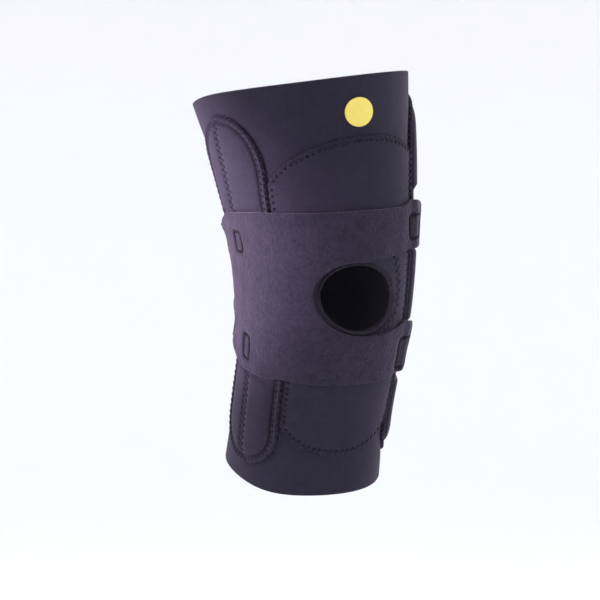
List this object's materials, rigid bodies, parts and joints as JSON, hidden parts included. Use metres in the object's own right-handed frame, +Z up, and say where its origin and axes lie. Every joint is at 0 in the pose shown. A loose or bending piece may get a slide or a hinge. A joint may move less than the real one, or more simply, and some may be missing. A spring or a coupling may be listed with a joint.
{
  "type": "knee sleeve",
  "caption": "Neoprene knee sleeve for a right leg with an open kneecap hole, padded side panels and a C-shaped wrap drawn back by straps.",
  "frame": {"origin": "middle of the leg passage at the height of the kneecap", "axes": "+Z up the leg towards the thigh, -Y forwards out of the kneecap hole, +X towards the inner side of the leg"},
  "size_m": [0.1728, 0.1715, 0.3402],
  "materials": {
    "sleeve_neoprene": "nylon-faced neoprene, matt",
    "panel_neoprene": "nylon-faced neoprene with cover-stitched edges",
    "wrap_neoprene": "brushed nylon-faced neoprene with a soft sheen",
    "sewing_thread": "dark polyester thread, overlocked round the hole",
    "strap_webbing": "woven elastic webbing",
    "patch_print": "heat-sealed film, satin"
  },
  "bodies": {
    "root": {"sleeve_body": "sleeve_neoprene", "hole_binding": "sewing_thread", "front_panel": "panel_neoprene", "side_panel_outer": "panel_neoprene", "side_panel_inner": "panel_neoprene", "wrap_panel": "wrap_neoprene", "strap_upper": "strap_webbing", "strap_lower": "strap_webbing", "round_patch": "patch_print"}
  },
  "joints": []
}
